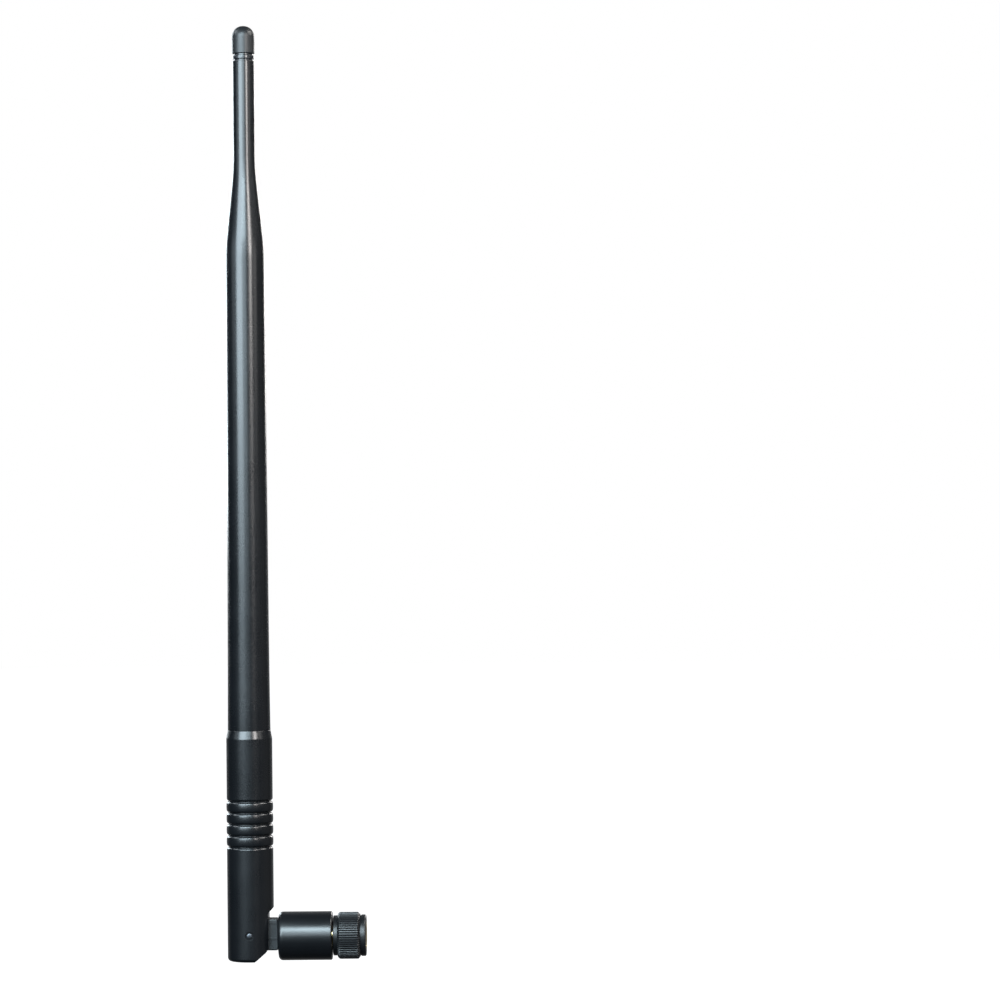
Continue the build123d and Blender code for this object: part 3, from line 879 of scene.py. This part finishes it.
def rib_radius(angle, height, radius):
    """Broad ribs with narrow rounded valleys."""
    phase = abs(angle / FULL_TURN * grip_ribs % 1.0 - 0.5) * 2
    crown = crown_height * phase * phase
    valley = max(0.0, phase - crown_share) / (1 - crown_share)
    return radius - crown - (rib_depth - crown_height) * valley * valley * (3 - 2 * valley)


def pocket_wall(angle, height, radius):
    """The hexagonal pocket that the nut sits in."""
    return hexagon_radius(pocket_flats, angle)


reshape(
    grip,
    knurl_back - WIDE,
    knurl_front + TIGHT,
    neck_radius + WIDE,
    grip_radius + WIDE,
    rib_radius,
)
reshape(
    grip,
    grip_back - WIDE,
    grip_front - pocket_depth + TIGHT,
    pocket_flats / 2 - WIDE,
    pocket_flats / 2 + TIGHT,
    pocket_wall,
)
piece("ribbed_grip", grip, "nut", grip_black, "nut_collar", ON_CONNECTOR)

# --------------------------------------------------------------------------
# Connector
# --------------------------------------------------------------------------

tail_back, ferrule_face = ends("connector_body", 0)
core_back, core_front = ends("centre_contact", 0)
shoulder_front = ferrule_face - 2.20
shoulder_back = shoulder_front - 1.50
ring_front = shoulder_front - 0.60
ring_back = ring_front - 0.55
flange_front = grip_back - 0.50
flange_back = flange_front - 0.80
boss_back = flange_back - 3.50
ferrule_radius = 2.30
insulator_bore = 2.07
shoulder_radius = 3.20
ring_floor = 2.75
waist_radius = 2.45
flange_radius = 4.30
boss_radius = 3.80
tail_radius = 1.20
core_hole = 0.44
well_floor = core_back - 0.05
body = turned(
    [
        (insulator_bore, ferrule_face, FAINT),
        (ferrule_radius, ferrule_face, 0.08),
        (ferrule_radius, shoulder_front),
        (shoulder_radius, shoulder_front, FINE),
        (shoulder_radius, ring_front),
        (ring_floor, ring_front),
        (ring_floor, ring_back),
        (shoulder_radius, ring_back),
        (shoulder_radius, shoulder_back, FINE),
        (waist_radius, shoulder_back),
        (waist_radius, flange_front),
        (flange_radius, flange_front, FINE),
        (flange_radius, flange_back),
        (boss_radius, flange_back),
        (boss_radius, boss_back, SLIGHT),
        (tail_radius, boss_back),
        (tail_radius, tail_back),
        (core_hole, tail_back),
        (core_hole, well_floor),
        (insulator_bore, well_floor),
    ],
    steps=160,
)
splines = 32
spline_height = 0.09


def spline_radius(angle, height, radius):
    """Soft splines that hold the boss in the housing."""
    return radius + spline_height * math.cos(angle * splines)


reshape(
    body,
    boss_back - WIDE,
    flange_back + TIGHT,
    boss_radius - SLIGHT - WIDE,
    boss_radius + WIDE,
    spline_radius,
)
piece("ferrule_body", body, "connector", gold_plate, "connector_body", ON_CONNECTOR)

insulator_radius = 2.05
contact_hole = 0.66
insulator = turned(
    [
        (contact_hole, core_front, 0.03),
        (insulator_radius, core_front, FAINT),
        (insulator_radius, core_back),
        (contact_hole, core_back),
    ],
    steps=SMALL_TURN_STEPS,
)
piece("insulator", insulator, "connector", white_ptfe, "dielectric", ON_CONNECTOR)

contact_radius = 0.635
socket_bore = 0.47
socket_depth = 2.6
socket_point = 2.9
contact = turned(
    [
        (0, core_back),
        (contact_radius, core_back, 0.08),
        (contact_radius, core_front, FAINT),
        (socket_bore, core_front, 0.04),
        (socket_bore, core_front - socket_depth),
        (0, core_front - socket_point),
    ],
    closed=False,
    steps=48,
)
slit_depth = 2.0
slit_reach = 1
half_slit = 0.06
slits = []
for degrees in (45, 135):
    slit = block(
        -slit_reach, slit_reach, core_front - slit_depth, core_front + CUT_PAST, half_slit
    )
    slit.transform(Matrix.Rotation(math.radians(degrees), 4, "Z"))
    slits.append(slit)
contact = carved(contact, slits)
piece("contact_socket", contact, "connector", bright_gold, "centre_contact", ON_CONNECTOR)

gasket_back, gasket_front = ends("interface_gasket", 0)
gasket_bore = 2.32
gasket_radius = 2.95
gasket = turned(
    [
        (gasket_bore, gasket_front, 0.16),
        (gasket_radius, gasket_front, 0.24),
        (gasket_radius, gasket_back, 0.12),
        (gasket_bore, gasket_back, FAINT),
    ],
    steps=SMALL_TURN_STEPS,
)
piece(
    "ferrule_gasket", gasket, "connector", red_silicone, "interface_gasket", ON_CONNECTOR
)

# --------------------------------------------------------------------------
# Swivel base
# --------------------------------------------------------------------------

housing_back, housing_front = ends("swivel_housing", 0)
housing_radius = width_radius("swivel_housing")
chamber_back = housing_front - 7.5
shaft_front = chamber_back + 1.2
shaft_hole = 2.95
flange_seat = 4.32
chamber_radius = 3.95
housing = turned(
    [
        (shaft_hole, housing_back, SLIGHT),
        (housing_radius, housing_back, 1.20),
        (housing_radius, housing_front, 0.40),
        (flange_seat, housing_front, FINE),
        (flange_seat, flange_back),
        (chamber_radius, flange_back),
        (chamber_radius, chamber_back),
        (shaft_hole, chamber_back, FINE),
    ],
    steps=FINE_TURN_STEPS,
)


def swivel_block(inner, outer, side):
    """A short piece of a ring round Z, towards +X or -X, that ends the swivel's travel."""
    thickness = 0.5
    half_angle = math.radians(6.5)
    shape = turned(
        [
            (inner, shaft_front),
            (outer, shaft_front),
            (outer, shaft_front - thickness),
            (inner, shaft_front - thickness),
        ],
        steps=FINE_TURN_STEPS,
    )
    spare = []
    for face in shape.faces:
        middle = face.calc_center_median()
        if abs(math.atan2(middle.y, side * middle.x)) >= half_angle:
            spare.append(face)
    bmesh.ops.delete(shape, geom=spare, context="FACES")
    bmesh.ops.holes_fill(shape, edges=shape.edges[:])
    bmesh.ops.recalc_face_normals(shape, faces=shape.faces)
    return shape


stop_inner = 3.20
stop_outer = 4.20
stop = swivel_block(stop_inner, stop_outer, 1)
shell = carved(housing, [stop], operation="UNION")
piece(
    "swivel_shell", shell, "connector", housing_black, "swivel_housing", ON_CONNECTOR
)

# The shaft, with a groove for the clip and one for the friction ring. Its end is stepped, so
# that it stays clear of the barrel's ears when the mast tilts.
knuckle_front = ends("knuckle", 0)[1]
knuckle_back = housing_back - 0.10
clip_front = chamber_back + 0.57
clip_back = clip_front - 0.57
oring_front = chamber_back - 3.0
oring_back = oring_front - 1.0
shaft_radius = 2.90
clip_floor = 2.50
oring_floor = 2.20
step_front = knuckle_back - 0.02
step_back = knuckle_back - 0.50
shaft = turned(
    [
        (0, knuckle_front),
        (shaft_radius, knuckle_front, 0.15),
        (shaft_radius, clip_front),
        (clip_floor, clip_front),
        (clip_floor, clip_back),
        (shaft_radius, clip_back),
        (shaft_radius, oring_front, FAINT),
        (oring_floor, oring_front),
        (oring_floor, oring_back),
        (shaft_radius, oring_back, FAINT),
        (shaft_radius, step_front),
        (oring_floor, step_front),
        (oring_floor, step_back),
        (0, step_back),
    ],
    closed=False,
    steps=SMALL_TURN_STEPS,
)
shaft.transform(ON_CONNECTOR)

# The tongue: a plate with a round end
tongue_half = 4.425
cheek = 2.50
tongue = prism(
    [
        (knuckle_back, pin_z - tongue_half),
        (knuckle_back, pin_z + tongue_half),
        (mast_x - tongue_half, pin_z + tongue_half),
        (mast_x - tongue_half, pin_z - tongue_half),
    ],
    cheek,
    round_corners=[(2, tongue_half - JUST_SHORT), (3, tongue_half - JUST_SHORT)],
)
corner_angle = 1.0
tongue_edges = []
for edge in tongue.edges:
    if edge.is_manifold and edge.calc_face_angle(0) > corner_angle:
        tongue_edges.append(edge)
bmesh.ops.bevel(
    tongue,
    geom=tongue_edges,
    offset=0.45,
    segments=3,
    profile=0.5,
    affect="EDGES",
    material=-1,
)

# Room for the lead: a slot up through the tongue, and a bore that widens towards the connector
bend_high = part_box("coax_bend")[1]
bend_start = bend_high.x / MM
lead_bore = 1.05
half_channel = 1.0
wide_bore = 1.80
wide_bore_end = knuckle_front - 4.2
bore_end = bend_start - 0.1
channel = block(
    bend_start, mast_x - 2 * tongue_half, -lead_bore, pin_z + 2 * tongue_half, half_channel
)
bores = turned(
    [
        (0, knuckle_front + CUT_PAST),
        (wide_bore, knuckle_front + CUT_PAST),
        (wide_bore, wide_bore_end),
        (lead_bore, wide_bore_end),
        (lead_bore, bore_end),
        (0, bore_end),
    ],
    closed=False,
    steps=64,
)
bores.transform(ON_CONNECTOR)
tongue_bore = cross_rod(pin_clearance, -cheek - CUT_PAST, cheek + CUT_PAST)
tongue_bore.transform(ON_MAST)

# Two shallow pockets in each cheek leave a rib across the neck
core_near = knuckle_back - 0.25
core_far = knuckle_back - 4.6
core_depth = 0.35
cheek_cores = []
for side in (-1, 1):
    for low_edge, high_edge in ((-2.90, -0.75), (-0.15, 3.70)):
        core = block(core_near, core_far, low_edge, high_edge, core_depth)
        core.transform(Matrix.Translation((0, side * cheek, 0)))
        cheek_cores.append(core)

lug_outer = 3.80
lug = swivel_block(clip_floor, lug_outer, -1)
lug.transform(ON_CONNECTOR)
knuckle = carved(shaft, [tongue, lug], operation="UNION")
knuckle = carved(knuckle, [channel, bores, tongue_bore, *cheek_cores])
piece(
    "knuckle_tongue", knuckle, "knuckle", knuckle_black, "knuckle", IN_PLACE
)


def new_rim(made):
    """The open edges among what an operator made."""
    return [part for part in made if isinstance(part, bmesh.types.BMEdge) and part.is_boundary]


def lengthen(shape, rim, offset, steps):
    """Extrude an open rim in equal steps."""
    for _ in range(steps):
        grown = bmesh.ops.extrude_edge_only(shape, edges=rim)["geom"]
        verts = [part for part in grown if isinstance(part, bmesh.types.BMVert)]
        bmesh.ops.translate(shape, verts=verts, vec=Vector(offset) / steps)
        rim = new_rim(grown)
    return rim


# The lead where it flexes: out of the knuckle, a quarter turn, and up into the mast
jacket = width_radius("coax_bend")
bend_top = bend_high.z / MM
bend_radius = 5.0
turn_start = mast_x + bend_radius
flex = bmesh.new()
bmesh.ops.create_circle(flex, segments=24, radius=jacket)
flex.transform(Matrix.Translation((bend_start, 0, 0)) @ Matrix.Rotation(QUARTER_TURN, 4, "Y"))
rim = lengthen(flex, flex.edges[:], (turn_start - bend_start, 0, 0), 3)
turn = bmesh.ops.spin(
    flex,
    geom=rim,
    cent=(turn_start, 0, bend_radius),
    axis=(0, 1, 0),
    angle=QUARTER_TURN,
    steps=20,
    use_merge=False,
)
lengthen(flex, new_rim(turn["geom_last"]), (0, 0, bend_top - bend_radius), 8)
bmesh.ops.holes_fill(flex, edges=flex.edges[:])
bmesh.ops.recalc_face_normals(flex, faces=flex.faces)
lead = piece("lead_flex", flex, None, cable_black, "coax_bend", IN_PLACE)
turn_start * MM
mast_x * MM
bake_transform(lead)

# --------------------------------------------------------------------------
# Frame nodes that keep their own shape get their finish
# --------------------------------------------------------------------------

kept_finishes = {
    "nut_snap_ring": spring_steel,
    "crimp_ferrule": nickel,
    "coax_lead": cable_black,
    "coax_riser": cable_black,
    "knuckle_clip": spring_steel,
    "swivel_o_ring": black_rubber,
    "cable_bush": black_rubber,
    "choke_sleeve": nickel,
    "choke_bead": white_ptfe,
    "feed_bead": white_ptfe,
    "feed_shrink": shrink_black,
    "lower_radiator": copper,
    "middle_radiator": copper,
    "upper_radiator": copper,
    "foam_spacers": white_foam,
}
for node, material in kept_finishes.items():
    for material_slot in frame["nodes"][node].material_slots:
        material_slot.material = material

# --------------------------------------------------------------------------
# Stage, light and camera. Lengths are in metres from here on.
# --------------------------------------------------------------------------

WHITE = colour(1.0, 1.0, 1.0)
mast_axis = Vector((mast_x * MM, 0, 0))

# The floor lies just under the mast's reach when it swings below the connector
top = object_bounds()[1].z
floor_radius = 8.0
floor_gap = 0.005
near_mm = 150
far_mm = 700
floor_shape = bmesh.new()
bmesh.ops.create_circle(floor_shape, cap_ends=True, segments=96, radius=floor_radius)
floor_shape.transform(Matrix.Translation((mast_axis.x, 0, -top - floor_gap)))
floor = as_object(floor_shape, "floor")
pale = Finish("pale_floor", Roughness=0.9, Specular_IOR_Level=0.1, Emission_Strength=1.0)
away = (pale.place.radius_from("Z") + pale.place.noise(0.006) * 30).above(near_mm, far_mm)
pale.feed("Base Color", away.blend(colour(0.80, 0.80, 0.80), colour(0.86, 0.86, 0.86)))
pale.feed("Emission Color", away.blend(colour(0.80, 0.803, 0.808), WHITE))
floor.data.materials.append(pale.material)
floor.visible_glossy = False
floor.visible_diffuse = False


def around(azimuth, distance, height):
    """A place round the mast: azimuth 0 is in front, and it grows to the left."""
    turn = math.radians(azimuth)
    return (
        mast_axis.x - distance * math.sin(turn),
        -distance * math.cos(turn),
        height,
    )


def soft_light(name, place, target, width, height, power, tint):
    """A rectangular lamp that faces its target and isn't seen by the camera."""
    lamp = bpy.data.lights.new(name, "AREA")
    lamp.shape = "RECTANGLE"
    lamp.size = width
    lamp.size_y = height
    lamp.energy = power
    lamp.color = tint
    made = bpy.data.objects.new(name, lamp)
    made.location = place
    made.rotation_euler = (Vector(target) - Vector(place)).to_track_quat("-Z", "Y").to_euler()
    made.visible_camera = False
    bpy.context.scene.collection.objects.link(made)


COOL = (0.74, 0.90, 1.0)
WARM = (1.0, 0.96, 0.94)
mast_middle = (mast_axis.x, 0, 0.24)
mast_lower = (mast_axis.x, 0, 0.18)
connector = (0, 0, 0)
# Name, place, what it faces, width, height, power, tint
lamps = (
    ("key_strip", around(32, 0.80, 0.41), mast_middle, 0.53, 0.58, 16.2, COOL),
    ("front_fill", around(3, 0.85, 0.37), mast_middle, 0.36, 0.46, 3.3, COOL),
    ("warm_strip", around(-34, 0.90, 0.435), mast_middle, 0.22, 0.40, 6.8, WARM),
    ("left_fill", around(68, 0.70, 0.27), mast_lower, 0.28, 0.15, 0.28, (0.80, 0.92, 1.0)),
    ("right_fill", around(-62, 0.70, 0.25), mast_lower, 0.22, 0.14, 0.26, (1.0, 0.98, 0.96)),
    ("front_top", around(4, 0.85, 0.62), mast_axis, 0.36, 0.30, 9.0, (0.72, 0.91, 1.0)),
    ("right_top", around(-92, 0.60, 0.66), connector, 0.30, 0.30, 5.0, (1.0, 0.98, 0.95)),
    ("left_top", around(100, 0.70, 0.80), mast_middle, 0.30, 0.30, 4.0, (0.85, 0.93, 1.0)),
    ("back_left", around(150, 0.90, 0.36), mast_middle, 0.36, 0.50, 4.6, (0.84, 0.94, 1.0)),
    ("back_right", around(-156, 0.95, 0.38), mast_middle, 0.20, 0.44, 2.6, (1.0, 0.97, 0.95)),
)
for lamp in lamps:
    soft_light(*lamp)

# The room is dim in front, so that the plastic keeps its dark flanks, and lighter behind
world = bpy.data.worlds.new("studio")
bpy.context.scene.world = world
world.use_nodes = True
background = world.node_tree.nodes["Background"]
sight = world.node_tree.nodes.new("ShaderNodeTexCoord")
direction = Value(world.node_tree, sight.outputs["Generated"])
rear = direction.part(1).above(0.45, 1.0)
right = direction.part(0).above(0.80, 1.0)
room = rear.blend(colour(0.028, 0.032, 0.038), colour(0.34, 0.35, 0.36))
room = right.blend(room, colour(0.20, 0.20, 0.20))
seen = direction.node("ShaderNodeLightPath", {}, {}, output="Is Camera Ray")
world.node_tree.links.new(seen.blend(room, WHITE).socket, background.inputs["Color"])

camera_distance = 1.092
camera_height = 0.1215
camera_right_of_mast = 0.0708
camera_lean = math.radians(0.5)
frame_width = 0.280
camera_data = bpy.data.cameras.new("camera")
camera_data.sensor_width = 36.0
camera_data.lens = camera_data.sensor_width * camera_distance / frame_width
camera_data.clip_start = 0.01
camera_data.clip_end = 50.0
camera = bpy.data.objects.new("camera", camera_data)
camera.location = (mast_axis.x + camera_right_of_mast, -camera_distance, camera_height)
camera.rotation_euler = (QUARTER_TURN, camera_lean, 0)
bpy.context.scene.collection.objects.link(camera)
bpy.context.scene.camera = camera
bpy.context.scene.view_settings.view_transform = "Standard"
